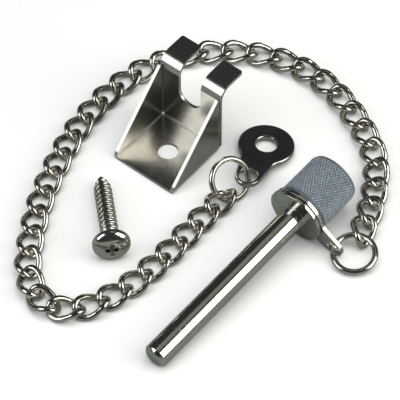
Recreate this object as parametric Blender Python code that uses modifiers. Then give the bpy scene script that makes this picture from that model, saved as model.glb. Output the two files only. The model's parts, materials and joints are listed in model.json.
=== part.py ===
"""Chained locking pin with its holder bracket, laid out flat as it is sold.

A knurled steel pin hangs from a swivel tab. A split ring joins the tab to a fine curb chain, and a
second ring joins the chain to a small anchor tab. Beside the chain lie the folded holder bracket
and its wood screw. The chain lies in a loop on the surface z = 0.
"""
import math

import bmesh
import bpy
from mathutils import Matrix, Vector

MM = 0.001
GAP = 0.3 * MM               # clearance between pieces that touch on the real object

# curb chain
LINK_COUNT = 39
LINK_PITCH = 5.85 * MM
LINK_WIRE = 1.4 * MM         # wire diameter
LINK_INSIDE = 3.6 * MM       # the width inside a link
LINK_TWIST = math.radians(90)
LINK_SQUARENESS = 2.5        # 2 is an ellipse, more gives straighter sides
LINK_POINTS = 18
END_ROLLS = (-9, -19, -30)   # degrees that the last links roll over, towards the pin's ring

# split rings
RING_OUTER = 10.75 * MM
RING_WIRE = 1.35 * MM
RING_SPLIT = 0.5 * MM
RING_POINTS = 28
RING_STAND_OFF = 1.5 * GAP   # from a ring's wire to the end of the link that holds it
RING_ASIDE = 0.25            # a ring's place beside its hook, over the link's inside width

# pin
SHANK_DIAMETER = 5.8 * MM
SHANK_LENGTH = 47.2 * MM     # from the tip to the collar
TIP_CHAMFER = 0.7 * MM
COLLAR_DIAMETER = 13.8 * MM
COLLAR_THICKNESS = 0.9 * MM
NECK_DIAMETER = 4.0 * MM
NECK_IN_KNOB = 8.0 * MM
KNOB_DIAMETER = 12.7 * MM
KNOB_LENGTH = 11.6 * MM
KNOB_CHAMFER = 0.4 * MM
PIN_HEADING = math.radians(48.8)

# swivel tab
SWIVEL_DIAMETER = 13.4 * MM
SWIVEL_THICKNESS = 0.9 * MM
SWIVEL_REACH = 11.0 * MM     # from the pin's axis to the ear's hole
SWIVEL_RING_ROOM = 1.85 * MM
SWIVEL_RING_RIM = 0.8 * MM

# anchor tab
ANCHOR_DIAMETER = 13.1 * MM
ANCHOR_THICKNESS = 1.3 * MM
ANCHOR_REACH = 11.3 * MM     # from the screw hole to the ring hole
ANCHOR_SCREW_HOLE = 5.0 * MM
ANCHOR_RING_ROOM = 2.85 * MM  # the ring hole's diameter over the ring's wire
ANCHOR_RING_RIM = 0.9 * MM   # material left round the ring hole
ANCHOR_HEADING = math.radians(67)
TAB_TAPER = math.radians(9)
TAB_FILLET = 3.0 * MM

# holder bracket
SHEET = 0.8 * MM
BRACKET_WIDTH = 17.6 * MM
BRACKET_DEPTH = 17.6 * MM
BRACKET_HEIGHT = 20.4 * MM   # top of the curled ears
FLAP_HEIGHT = 18.4 * MM
FLAP_TOE = 1.5 * MM          # height of the flaps at the front corners
FOLD_RADIUS = 0.4 * MM       # inside radius of the folds
EAR_CURL_RADIUS = 2.8 * MM   # inside radius of the ears' curl
EAR_REACH = 7.5 * MM         # from the upright's outer face to the ears' ends
SLOT_CLEARANCE = 0.6 * MM    # the slot's width over the shank's
SLOT_BOTTOM = 9.4 * MM
BRACKET_SCREW_HOLE = 4.9 * MM
BRACKET_PLACE = Vector((-7.4, 13.8, 0)) * MM
BRACKET_TURN = math.radians(-39)

# wood screw
SCREW_LENGTH = 21.5 * MM     # from the head's rim to the tip
SCREW_HEAD_DIAMETER = 8.6 * MM
SCREW_DOME = 2.4 * MM
SCREW_UNDERCUT = 0.9 * MM    # taper under the head's rim
SCREW_DIAMETER = 4.2 * MM    # over the thread
THREAD_DEPTH = 0.5 * MM
THREAD_PITCH = 1.45 * MM
THREAD_TURNS = 12
THREAD_TAPER = 3             # turns over which the point narrows
SCREW_POINT_WIDTH = 0.15     # the last crest's width over the full thread's
THREAD_START = 0.2           # share of the length without thread that lies under the head
THREAD_CREST_AT = 0.35       # where in its turn a crest stands
THREAD_ROOT_AT = 0.75        # where in its turn the thread is back at its root
RIM_BELOW = 0.15             # the rim's straight band, as a share of the undercut
RIM_ABOVE = 0.2              # and as a share of the dome
RECESS_SPAN = 4.6 * MM
RECESS_WIDTH = 1.0 * MM
RECESS_DEPTH = 1.7 * MM
SCREW_PLACE = Vector((-19.7, -15.4, 0)) * MM
SCREW_HEADING = math.radians(98)

# the chain's route on the surface, from the anchor tab's ring round to the pin's ring
ROUTE = [(6.6, 0.5), (0.6, -6.4), (-6.6, -15.8), (-14.4, -24.5), (-19.2, -28.0), (-24.2, -31.0),
         (-29.6, -32.2), (-34.4, -29.9), (-37.3, -25.4), (-38.2, -19.9), (-37.9, -13.6),
         (-36.3, -2.6), (-32.9, 8.7), (-28.4, 19.6), (-22.2, 29.2), (-13.8, 37.4), (-3.1, 42.3),
         (8.2, 43.3), (19.2, 40.8), (28.6, 34.4), (35.2, 24.8), (39.6, 13.9), (40.3, 7.2),
         (38.4, -3.7), (34.9, -13.3)]

# how the two rings lean: clearance under the lowest wire, tilt, and the way the plane rises
ANCHOR_RING_LEAN = (0.05 * MM, math.radians(50), math.radians(128))
PIN_RING_LEAN = (0.58 * MM, math.radians(9), math.radians(65))
ANCHOR_LINK_ON_RING = math.radians(240)  # where on its ring each end link hangs
PIN_LINK_ON_RING = math.radians(112)
ANCHOR_EYE_ON_RING = math.radians(-22)   # where on its ring each tab hangs, from the level axis
PIN_EYE_ON_RING = math.radians(186)

STEPS = 32                   # facets round a turned piece
BEND_STEPS = 5


def clear_scene():
    for thing in list(bpy.data.objects):
        bpy.data.objects.remove(thing, do_unlink=True)


def collection(name):
    group = bpy.data.collections.new(name)
    bpy.context.scene.collection.children.link(group)
    return group


def material(name, colour, roughness, metallic=1.0):
    made = bpy.data.materials.new(name)
    made.use_nodes = True
    shader = made.node_tree.nodes["Principled BSDF"]
    shader.inputs["Base Color"].default_value = (*colour, 1.0)
    shader.inputs["Roughness"].default_value = roughness
    shader.inputs["Metallic"].default_value = metallic
    return made


def add(name, data, group, made_of=None, matrix=Matrix()):
    thing = bpy.data.objects.new(name, data)
    group.objects.link(thing)
    thing.parent = layout
    thing.matrix_local = matrix
    if made_of and not data.materials:
        data.materials.append(made_of)
    return thing


def pose(origin, x_axis, z_axis):
    """Matrix of a frame at origin, with these two axes."""
    z_axis = z_axis.normalized()
    y_axis = z_axis.cross(x_axis).normalized()
    x_axis = y_axis.cross(z_axis)
    turn = Matrix((x_axis, y_axis, z_axis)).transposed().to_4x4()
    return Matrix.Translation(origin) @ turn


def arc(centre, radius, start, end, steps):
    """Points along an arc in the plane, both ends included."""
    angles = (start + (end - start) * i / steps for i in range(steps + 1))
    return [(centre[0] + radius * math.cos(a), centre[1] + radius * math.sin(a)) for a in angles]


def wire_curve(name, points, diameter, closed, resolution):
    curve = bpy.data.curves.new(name, "CURVE")
    curve.dimensions = "3D"
    curve.bevel_depth = diameter / 2
    curve.bevel_resolution = resolution
    curve.use_fill_caps = not closed
    spline = curve.splines.new("POLY")
    spline.points.add(len(points) - 1)
    for spot, point in zip(spline.points, points):
        spot.co = (*point, 1)
    spline.use_cyclic_u = closed
    return curve


def plate_mesh(name, outlines, thickness):
    """Flat plate about z = 0: the first outline is its edge, and the others are holes."""
    curve = bpy.data.curves.new(name, "CURVE")
    curve.dimensions = "2D"
    curve.fill_mode = "BOTH"
    curve.extrude = thickness / 2
    for outline in outlines:
        spline = curve.splines.new("POLY")
        spline.points.add(len(outline) - 1)
        for spot, point in zip(spline.points, outline):
            spot.co = (point[0], point[1], 0, 1)
        spline.use_cyclic_u = True
    source = bpy.data.objects.new(name, curve)
    bpy.context.scene.collection.objects.link(source)
    graph = bpy.context.evaluated_depsgraph_get()
    mesh = bpy.data.meshes.new_from_object(source.evaluated_get(graph))
    bpy.data.objects.remove(source, do_unlink=True)
    shape = bmesh.new()
    shape.from_mesh(mesh)
    bmesh.ops.remove_doubles(shape, verts=shape.verts, dist=1e-6)
    bmesh.ops.recalc_face_normals(shape, faces=shape.faces)
    shape.to_mesh(mesh)
    shape.free()
    mesh.name = name
    return mesh


def turned(thing, steps=STEPS):
    """Turn the object's profile, in its xz plane, about its z axis."""
    screw = thing.modifiers.new("turn", "SCREW")
    screw.steps = screw.render_steps = steps
    screw.use_merge_vertices = True
    screw.merge_threshold = 1e-6
    screw.use_smooth_shade = True
    return thing


def profile_mesh(name, points):
    mesh = bpy.data.meshes.new(name)
    edges = [(i, i + 1) for i in range(len(points) - 1)]
    mesh.from_pydata([(r, 0, z) for r, z in points], edges, [])
    return mesh


def cylinder_mesh(name, radius, length):
    mesh = bpy.data.meshes.new(name)
    shape = bmesh.new()
    bmesh.ops.create_cone(shape, cap_ends=True, segments=STEPS, radius1=radius, radius2=radius,
                          depth=length)
    shape.to_mesh(mesh)
    shape.free()
    return mesh


def box_mesh(name, size):
    mesh = bpy.data.meshes.new(name)
    shape = bmesh.new()
    bmesh.ops.create_cube(shape, size=1)
    bmesh.ops.scale(shape, vec=size, verts=shape.verts)
    shape.to_mesh(mesh)
    shape.free()
    return mesh


def cut(thing, name, mesh, matrix, operation="DIFFERENCE"):
    cutter = add(name, mesh, cutters, matrix=matrix)
    cutter.hide_render = True
    cutter.display_type = "WIRE"
    boolean = thing.modifiers.new(name, "BOOLEAN")
    boolean.operation = operation
    boolean.solver = "EXACT"
    boolean.object = cutter


# ---- chain ------------------------------------------------------------------------------------

def route_curve(samples=24):
    """Smooth curve through the route's points, as closely spaced points."""
    spots = [Vector(p) * MM for p in ROUTE]
    spots = [2 * spots[0] - spots[1], *spots, 2 * spots[-1] - spots[-2]]
    smooth = []
    for a, b, c, d in zip(spots, spots[1:], spots[2:], spots[3:]):
        for i in range(samples):
            t = i / samples
            smooth.append(0.5 * (2 * b + (c - a) * t + (2 * a - 5 * b + 4 * c - d) * t**2
                                 + (3 * b - a - 3 * c + d) * t**3))
    return [*smooth, spots[-2]]


def walk(line, step):
    """Points on a line of points, each one step straight from the last, and what is left over."""
    spots = [line[0]]
    for a, b in zip(line, line[1:]):
        while (b - spots[-1]).length >= step:
            low, high = 0.0, 1.0
            for _ in range(30):
                middle = (low + high) / 2
                if (a.lerp(b, middle) - spots[-1]).length < step:
                    low = middle
                else:
                    high = middle
            spots.append(a.lerp(b, high))
    return spots, (line[-1] - spots[-1]).length / step


def hook_points():
    """The places where the links hook into each other, with the route scaled to the chain."""
    line = route_curve()
    low, high = 0.5, 2.0
    for _ in range(40):
        scale = (low + high) / 2
        spots, rest = walk(line, LINK_PITCH / scale)
        if len(spots) - 1 + rest > LINK_COUNT:
            high = scale
        else:
            low = scale
    spots, _ = walk(line, LINK_PITCH / low)
    spots = spots[:LINK_COUNT] + [line[-1]]
    return [Vector((*(spot - line[0]) * low, 0)) + Vector((*line[0], 0)) for spot in spots]


def link_centreline():
    """A flattened loop of wire, twisted about its long axis."""
    half_length = (LINK_PITCH + GAP + LINK_WIRE) / 2
    half_width = (LINK_INSIDE + LINK_WIRE) / 2
    power = 2 / LINK_SQUARENESS
    points = []
    for i in range(LINK_POINTS):
        turn = 2 * math.pi * (i + 0.5) / LINK_POINTS
        along, across = math.cos(turn), math.sin(turn)
        x = half_length * math.copysign(abs(along)**power, along)
        side = half_width * math.copysign(abs(across)**power, across)
        twist = -LINK_TWIST / 2 * x / half_length
        points.append((x, side * math.cos(twist), side * math.sin(twist)))
    return points


def rest_height(points, roll):
    """Height of a link's middle when its lowest wire touches the surface."""
    lowest = min(math.sin(roll) * y + math.cos(roll) * z for _, y, z in points)
    return LINK_WIRE / 2 - lowest


def make_chain(hooks):
    points = link_centreline()
    curve = wire_curve("chain_link", points, LINK_WIRE, True, 1)
    steel = material("chain_nickel", (0.42, 0.41, 0.38), 0.18)
    rolls = [0] * (LINK_COUNT - len(END_ROLLS)) + list(END_ROLLS)
    for number, (start, end, roll) in enumerate(zip(hooks, hooks[1:], rolls), 1):
        roll = math.radians(roll)
        middle = (start + end) / 2
        middle.z = rest_height(points, roll)
        heading = math.atan2(end.y - start.y, end.x - start.x)
        place = Matrix.Translation(middle) @ Matrix.Rotation(heading, 4, "Z")
        add(f"chain_link_{number:02d}", curve, parts, steel, place @ Matrix.Rotation(roll, 4, "X"))


# ---- rings ------------------------------------------------------------------------------------

def ring_pose(hook, inward, lean, link_at):
    """Frame of a leaning ring that passes through an end link: x is level, and y climbs."""
    clearance, tilt, rise = lean
    radius = (RING_OUTER - RING_WIRE) / 2
    level = Vector((math.sin(rise), -math.cos(rise), 0))
    climb = Vector((math.cos(rise) * math.cos(tilt), math.sin(rise) * math.cos(tilt),
                    math.sin(tilt)))
    aside = Vector((-inward.y, inward.x, 0))
    contact = hook + inward * (RING_WIRE / 2 + RING_STAND_OFF) + aside * LINK_INSIDE * RING_ASIDE
    centre = contact - radius * (level * math.cos(link_at) + climb * math.sin(link_at))
    centre.z = RING_WIRE / 2 + clearance + radius * math.sin(tilt)
    return pose(centre, level, level.cross(climb))


def make_ring(name, place, split_at, steel):
    radius = (RING_OUTER - RING_WIRE) / 2
    half_split = RING_SPLIT / 2 / radius
    points = [(x, y, 0) for x, y in arc((0, 0), radius, split_at + half_split,
                                        split_at + 2 * math.pi - half_split, RING_POINTS)]
    return add(name, wire_curve(name, points, RING_WIRE, False, 2), parts, steel, place)


def on_ring(place, angle):
    radius = (RING_OUTER - RING_WIRE) / 2
    return place @ Vector((radius * math.cos(angle), radius * math.sin(angle), 0))


# ---- tabs -------------------------------------------------------------------------------------

def tab_outline(disc_radius, reach, end_radius):
    """A disc at the origin with a tapered ear towards +X, and a fillet where they meet."""
    normal = Vector((math.sin(TAB_TAPER), math.cos(TAB_TAPER)))
    along = Vector((math.cos(TAB_TAPER), -math.sin(TAB_TAPER)))
    rise = reach * math.sin(TAB_TAPER) + end_radius + TAB_FILLET
    run = math.sqrt((disc_radius + TAB_FILLET)**2 - rise**2)
    fillet = rise * normal + run * along
    start = math.atan2(fillet.y, fillet.x)
    edge = math.atan2(normal.y, normal.x)
    upper = arc(fillet, TAB_FILLET, edge - math.pi, start - math.pi, 5)
    lower = [(x, -y) for x, y in reversed(upper)]
    disc = arc((0, 0), disc_radius, start, 2 * math.pi - start, 36)
    nose = arc((reach, 0), end_radius, -edge, edge, 12)
    return [*nose, *upper, *disc[1:-1], *lower]


def hole(centre, diameter):
    return arc(centre, diameter / 2, 0, 2 * math.pi * (1 - 1 / 24), 23)


def make_anchor_tab(eye):
    """The anchor tab hangs on its ring at one end and rests on the surface at the other."""
    ring_hole = RING_WIRE + ANCHOR_RING_ROOM
    outline = tab_outline(ANCHOR_DIAMETER / 2, ANCHOR_REACH, ring_hole / 2 + ANCHOR_RING_RIM)
    holes = [hole((0, 0), ANCHOR_SCREW_HOLE), hole((ANCHOR_REACH, 0), ring_hole)]
    mesh = plate_mesh("anchor_tab", [outline, *holes], ANCHOR_THICKNESS)
    length = ANCHOR_REACH + ANCHOR_DIAMETER / 2
    tilt = math.asin((eye.z - ANCHOR_THICKNESS / 2) / length)
    away = Vector((math.cos(ANCHOR_HEADING) * math.cos(tilt),
                   math.sin(ANCHOR_HEADING) * math.cos(tilt), -math.sin(tilt)))
    level = Vector((math.sin(ANCHOR_HEADING), -math.cos(ANCHOR_HEADING), 0))
    steel = material("anchor_nickel", (0.36, 0.35, 0.33), 0.16)
    place = pose(eye + away * ANCHOR_REACH, -away, level.cross(away))
    return add("anchor_tab", mesh, parts, steel, place)


# ---- pin --------------------------------------------------------------------------------------

def pin_frame(eye):
    """Frame of the swivel tab's middle: z runs from the tip to the knob, and x to the ear."""
    tilt = math.asin((COLLAR_DIAMETER - SHANK_DIAMETER) / 2 / SHANK_LENGTH)
    axis = Vector((math.cos(PIN_HEADING) * math.cos(tilt), math.sin(PIN_HEADING) * math.cos(tilt),
                   math.sin(tilt)))
    side = Vector((math.sin(PIN_HEADING), -math.cos(PIN_HEADING), 0))
    up = side.cross(axis)
    past_collar = COLLAR_THICKNESS + GAP + SWIVEL_THICKNESS / 2
    height = COLLAR_DIAMETER / 2 * math.cos(tilt) + past_collar * math.sin(tilt)
    ear_radius = (RING_WIRE + SWIVEL_RING_ROOM) / 2 + SWIVEL_RING_RIM
    drop = math.asin((height - ear_radius) / SWIVEL_REACH / math.cos(tilt))
    ear = side * math.cos(drop) - up * math.sin(drop)
    centre = eye - ear * SWIVEL_REACH
    centre.z = height
    return pose(centre, ear, axis)


def make_pin(place):
    collar = -(SWIVEL_THICKNESS / 2 + GAP)
    shoulder = collar - COLLAR_THICKNESS
    tip = shoulder - SHANK_LENGTH
    knob = SWIVEL_THICKNESS / 2 + GAP
    shank, neck, flange = SHANK_DIAMETER / 2, NECK_DIAMETER / 2, COLLAR_DIAMETER / 2
    top = knob + NECK_IN_KNOB
    steel = material("pin_steel", (0.50, 0.50, 0.47), 0.15)
    outline = [(0, top), (neck, top), (neck, collar), (flange, collar), (flange, shoulder),
               (shank, shoulder), (shank, tip + TIP_CHAMFER), (shank - TIP_CHAMFER, tip), (0, tip)]
    turned(add("pin_shank", profile_mesh("pin_shank", outline), parts, steel, place))

    ring_hole = RING_WIRE + SWIVEL_RING_ROOM
    outline = tab_outline(SWIVEL_DIAMETER / 2, SWIVEL_REACH, ring_hole / 2 + SWIVEL_RING_RIM)
    holes = [hole((0, 0), NECK_DIAMETER + 2 * GAP), hole((SWIVEL_REACH, 0), ring_hole)]
    mesh = plate_mesh("swivel_tab", [outline, *holes], SWIVEL_THICKNESS)
    add("swivel_tab", mesh, parts, material("swivel_steel", (0.55, 0.55, 0.52), 0.22), place)

    radius, bore, chamfer = KNOB_DIAMETER / 2, neck + GAP, KNOB_CHAMFER
    end = knob + KNOB_LENGTH
    outline = [(0, end), (radius - chamfer, end), (radius, end - chamfer), (radius, knob + chamfer),
               (radius - chamfer, knob), (bore, knob), (bore, top + GAP), (0, top + GAP)]
    aluminium = material("knob_aluminium", (0.36, 0.44, 0.50), 0.42)
    turned(add("knurled_knob", profile_mesh("knurled_knob", outline), parts, aluminium, place))


# ---- holder bracket ---------------------------------------------------------------------------

def strip_outline(start, heading, moves, thickness):
    """Edge view of a bent strip. A move is a straight length, or a bend's angle and inside radius."""
    spot, left, right = Vector(start), [], []
    for move in moves:
        side = Vector((-math.sin(heading), math.cos(heading)))
        left.append(spot + side * thickness / 2)
        right.append(spot - side * thickness / 2)
        if isinstance(move, float):
            spot = spot + Vector((math.cos(heading), math.sin(heading))) * move
            continue
        angle, inside = move
        hand = math.copysign(1, angle)
        middle = inside + thickness / 2
        pivot = spot + side * hand * middle
        for i in range(1, BEND_STEPS):
            now = heading + angle * i / BEND_STEPS
            out = Vector((math.sin(now), -math.cos(now))) * hand
            left.append(pivot + out * (middle - hand * thickness / 2))
            right.append(pivot + out * (middle + hand * thickness / 2))
        heading += angle
        spot = pivot + Vector((math.sin(heading), -math.cos(heading))) * hand * middle
    side = Vector((-math.sin(heading), math.cos(heading)))
    left.append(spot + side * thickness / 2)
    right.append(spot - side * thickness / 2)
    return [*right, *reversed(left)]


def make_bracket():
    """Base and side flaps from one channel, joined to the upright strip with its curled ears."""
    place = Matrix.Translation(BRACKET_PLACE) @ Matrix.Rotation(BRACKET_TURN, 4, "Z")
    half_width, half_depth = BRACKET_WIDTH / 2, BRACKET_DEPTH / 2
    fold = FOLD_RADIUS + SHEET / 2
    flap_back = half_depth - SHEET - GAP
    facing_x = Matrix(((0, 0, 1, 0), (1, 0, 0, 0), (0, 1, 0, 0), (0, 0, 0, 1)))
    facing_y = Matrix(((1, 0, 0, 0), (0, 0, -1, 0), (0, 1, 0, 0), (0, 0, 0, 1)))

    blank = FLAP_HEIGHT + SHEET
    leg = blank - SHEET / 2 - fold
    floor = BRACKET_WIDTH - SHEET - 2 * fold
    quarter = math.pi / 2
    channel = strip_outline((SHEET / 2 - half_width, blank), -quarter,
                            [leg, (quarter, FOLD_RADIUS), floor, (quarter, FOLD_RADIUS), leg], SHEET)
    mesh = plate_mesh("holder_bracket", [channel], half_depth + flap_back)
    steel = material("bracket_steel", (0.50, 0.50, 0.46), 0.24)
    middle = Matrix.Translation((0, (flap_back - half_depth) / 2, 0))
    mesh.transform(middle @ facing_y)
    bracket = add("holder_bracket", mesh, parts, steel, place)

    over = 3 * SHEET
    slope = (FLAP_HEIGHT - FLAP_TOE) / (half_depth + flap_back)
    front, back = -half_depth - over, flap_back + over
    above = [(front, FLAP_TOE - slope * over), (back, FLAP_HEIGHT + slope * over),
             (back, 2 * FLAP_HEIGHT), (front, 2 * FLAP_HEIGHT)]
    cut(bracket, "flap_slope_cutter", plate_mesh("flap_slope_cutter", [above], 2 * BRACKET_WIDTH),
        place @ facing_x)

    curl = EAR_CURL_RADIUS + SHEET / 2
    lap = SHEET / 4
    climb = BRACKET_HEIGHT - SHEET / 2 - curl - SHEET / 2 - fold
    run = EAR_REACH - curl + SHEET / 2
    upright = strip_outline((half_depth - SHEET / 2 - fold - lap, SHEET / 2), 0,
                            [lap, (quarter, FOLD_RADIUS), climb, (-quarter, EAR_CURL_RADIUS), run],
                            SHEET)
    cut(bracket, "upright_strip", plate_mesh("upright_strip", [upright], BRACKET_WIDTH),
        place @ facing_x, "UNION")

    slot = (SHANK_DIAMETER + SLOT_CLEARANCE) / 2
    round_end = arc((0, SLOT_BOTTOM + slot), slot, math.pi, 2 * math.pi, 14)
    reach = half_depth + EAR_REACH + over
    slot_mesh = plate_mesh("slot_cutter", [[*round_end, (slot, 2 * BRACKET_HEIGHT),
                                            (-slot, 2 * BRACKET_HEIGHT)]], reach)
    cut(bracket, "slot_cutter", slot_mesh,
        place @ Matrix.Translation((0, half_depth - over + reach / 2, 0)) @ facing_y)
    cut(bracket, "base_hole_cutter",
        cylinder_mesh("base_hole_cutter", BRACKET_SCREW_HOLE / 2, 4 * SHEET), place)


# ---- wood screw -------------------------------------------------------------------------------

def make_screw():
    """Turned about z with the tip at the top: domed head, thread crests and a tapered point."""
    head, crest = SCREW_HEAD_DIAMETER / 2, SCREW_DIAMETER / 2
    root = crest - THREAD_DEPTH
    point = SCREW_LENGTH - SCREW_UNDERCUT - THREAD_TURNS * THREAD_PITCH
    below, above = RIM_BELOW * SCREW_UNDERCUT, RIM_ABOVE * SCREW_DOME
    outline = [(0, SCREW_LENGTH)]
    for turn in range(THREAD_TURNS, 0, -1):
        base = SCREW_UNDERCUT + point * THREAD_START + (turn - 1) * THREAD_PITCH
        left = (SCREW_LENGTH - base) / THREAD_PITCH - 0.5
        thin = min(1.0, left / THREAD_TAPER + SCREW_POINT_WIDTH)
        outline.append((root * thin, base + THREAD_ROOT_AT * THREAD_PITCH))
        outline.append((crest * thin, base + THREAD_CREST_AT * THREAD_PITCH))
        outline.append((root * thin, base))
    outline += [(crest, SCREW_UNDERCUT), (head, below), (head, -above)]
    for step in range(1, 6):
        turn = math.pi / 2 * step / 6
        dome = above + (SCREW_DOME - above) * math.sin(turn)
        outline.append((head * math.cos(turn), -dome))
    outline.append((0, -SCREW_DOME))

    tilt = min(math.atan2(head - radius, along - below) for radius, along in outline
               if along > below)
    axis = Vector((math.cos(SCREW_HEADING) * math.cos(tilt),
                   math.sin(SCREW_HEADING) * math.cos(tilt), -math.sin(tilt)))
    side = Vector((math.sin(SCREW_HEADING), -math.cos(SCREW_HEADING), 0))
    height = head * math.cos(tilt) + below * math.sin(tilt)
    place = pose(SCREW_PLACE + Vector((0, 0, height)), side, axis)
    steel = material("screw_nickel", (0.58, 0.57, 0.54), 0.2)
    screw = turned(add("mounting_screw", profile_mesh("mounting_screw", outline), parts, steel, place),
                   20)
    drop = Matrix.Translation((0, 0, -SCREW_DOME))
    for name, size in (("recess_cutter_a", (RECESS_SPAN, RECESS_WIDTH, 2 * RECESS_DEPTH)),
                       ("recess_cutter_b", (RECESS_WIDTH, RECESS_SPAN, 2 * RECESS_DEPTH))):
        cut(screw, name, box_mesh(name, size), place @ drop)


# ---- assembly ---------------------------------------------------------------------------------

def centre_layout():
    """Shift the whole layout so that the origin is under the middle of its box."""
    bpy.context.view_layer.update()
    graph = bpy.context.evaluated_depsgraph_get()
    corners = []
    for thing in parts.objects:
        shown = thing.evaluated_get(graph)
        mesh = shown.to_mesh()
        corners += [thing.matrix_world @ v.co for v in mesh.vertices]
        shown.to_mesh_clear()
    for i in range(2):
        layout.location[i] = -(min(c[i] for c in corners) + max(c[i] for c in corners)) / 2


clear_scene()
parts = collection("chained_locking_pin")
cutters = collection("cutters")
layout = bpy.data.objects.new("layout", None)
parts.objects.link(layout)

hooks = hook_points()
anchor_ring = ring_pose(hooks[0], (hooks[1] - hooks[0]).normalized(), ANCHOR_RING_LEAN,
                        ANCHOR_LINK_ON_RING)
pin_ring = ring_pose(hooks[-1], (hooks[-2] - hooks[-1]).normalized(), PIN_RING_LEAN,
                     PIN_LINK_ON_RING)
pin = pin_frame(on_ring(pin_ring, PIN_EYE_ON_RING))
ring_steel = material("ring_nickel", (0.50, 0.49, 0.46), 0.15)

make_anchor_tab(on_ring(anchor_ring, ANCHOR_EYE_ON_RING))
make_ring("anchor_ring", anchor_ring, math.radians(200), ring_steel)
make_chain(hooks)
make_ring("pin_ring", pin_ring, math.radians(200), ring_steel)
make_pin(pin)
make_bracket()
make_screw()
parts.objects.unlink(layout)
bpy.context.scene.collection.objects.link(layout)
centre_layout()
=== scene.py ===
"""Fine model of a chained locking pin, its holder bracket and its screw, round their solids."""

import json
import math

import bmesh
import bpy
from mathutils import Matrix, Vector


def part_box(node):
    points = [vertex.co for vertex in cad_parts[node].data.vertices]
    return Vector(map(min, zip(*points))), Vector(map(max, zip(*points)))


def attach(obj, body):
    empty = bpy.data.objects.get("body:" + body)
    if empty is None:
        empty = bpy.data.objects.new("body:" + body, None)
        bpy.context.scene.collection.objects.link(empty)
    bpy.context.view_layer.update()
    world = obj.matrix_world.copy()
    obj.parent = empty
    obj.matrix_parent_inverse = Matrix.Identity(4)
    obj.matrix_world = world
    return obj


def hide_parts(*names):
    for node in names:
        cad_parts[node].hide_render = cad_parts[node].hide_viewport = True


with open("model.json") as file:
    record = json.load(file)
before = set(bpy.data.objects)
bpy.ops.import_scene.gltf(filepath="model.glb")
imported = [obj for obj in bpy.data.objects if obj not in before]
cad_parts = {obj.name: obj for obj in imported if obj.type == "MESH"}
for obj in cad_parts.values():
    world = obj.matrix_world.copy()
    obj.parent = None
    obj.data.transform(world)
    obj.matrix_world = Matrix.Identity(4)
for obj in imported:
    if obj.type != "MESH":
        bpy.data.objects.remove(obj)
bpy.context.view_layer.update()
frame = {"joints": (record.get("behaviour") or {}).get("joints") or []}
MM = 0.001
joints = {joint["name"]: joint for joint in frame["joints"]}


# ---- board, lights and camera -----------------------------------------------------------------
# The pieces lie on a pale matt board in a dark room. A tall soft box stands on each side and a
# weak one hangs overhead, so that bright plating shows white bands between black ones.

class Wire:
    """A socket of one material: arithmetic adds Math nodes, and node() adds any other node."""

    def __init__(self, tree, socket=None):
        self.tree = tree
        self.socket = socket

    def node(self, kind, values=None, output=0, **settings):
        made = self.tree.nodes.new("ShaderNode" + kind)
        for name, setting in settings.items():
            setattr(made, name, setting)
        for name, value in (values or {}).items():
            if isinstance(value, Wire):
                self.tree.links.new(value.socket, made.inputs[name])
            else:
                made.inputs[name].default_value = value
        return Wire(self.tree, made.outputs[output])

    def maths(self, operation, first, second):
        return self.node("Math", {0: first, 1: second}, operation=operation)

    def __add__(self, other):
        return self.maths("ADD", self, other)

    __radd__ = __add__

    def __sub__(self, other):
        return self.maths("SUBTRACT", self, other)

    def __rsub__(self, other):
        return self.maths("SUBTRACT", other, self)

    def __mul__(self, other):
        return self.maths("MULTIPLY", self, other)

    __rmul__ = __mul__

    def __abs__(self):
        return self.node("Math", {0: self}, operation="ABSOLUTE")


def fade(value, low, high):
    """0 where the value is at low and 1 where it is at high, even where low is the larger."""
    return value.node("MapRange", {"Value": value, "From Min": low, "From Max": high})


def blend_colours(share, first, second):
    values = {0: share, 6: first, 7: second}
    return share.node("Mix", values, output=2, data_type="RGBA")


def noise(spot, scale, detail=3.0, stretch=None):
    """Noise with a scale in features to the metre, drawn out where a stretch factor is small."""
    if stretch:
        spot = spot.node("VectorMath", {0: spot, 1: stretch}, operation="MULTIPLY")
    return spot.node("TexNoise", {"Vector": spot, "Scale": scale, "Detail": detail})


def blank_finish(name):
    finish = bpy.data.materials.new(name)
    finish.use_nodes = True
    tree = finish.node_tree
    shader = tree.nodes["Principled BSDF"]
    return finish, shader, Wire(tree)


def feed(shader, **wires):
    """Link wires to the shader's sockets, with _ for a space in their names."""
    for name, wire in wires.items():
        wire.tree.links.new(wire.socket, shader.inputs[name.replace("_", " ")])


BOARD_SIZE = 1.6
BOARD_DROP = 0.02 * MM
BOARD_COLOUR = (0.86, 0.86, 0.85, 1)
# Painted shade: bright metal sees the board in this dark colour, standing in for the shade round the
# pieces.
BOARD_PAINTED_DARK_IN_REFLECTIONS = (0.19, 0.21, 0.20, 1)     # the board as bright metal shows it

shape = bmesh.new()
bmesh.ops.create_grid(shape, x_segments=1, y_segments=1, size=BOARD_SIZE / 2)
bmesh.ops.translate(shape, vec=(0, 0, -BOARD_DROP), verts=shape.verts)
board_mesh = bpy.data.meshes.new("board")
shape.to_mesh(board_mesh)
shape.free()
board = bpy.data.objects.new("board", board_mesh)
bpy.context.scene.collection.objects.link(board)
board_finish, shader, wire = blank_finish("board_paint_with_painted_dark_reflection")
shader.inputs["Roughness"].default_value = 0.9
shader.inputs["Specular IOR Level"].default_value = 0.1
# painted shade in reflections: glossy rays get the dark board colour, the camera gets the pale one
mirrored = wire.node("LightPath", output="Is Glossy Ray")
feed(shader, Base_Color=blend_colours(mirrored, BOARD_COLOUR, BOARD_PAINTED_DARK_IN_REFLECTIONS))
board_mesh.materials.append(board_finish)


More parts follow.
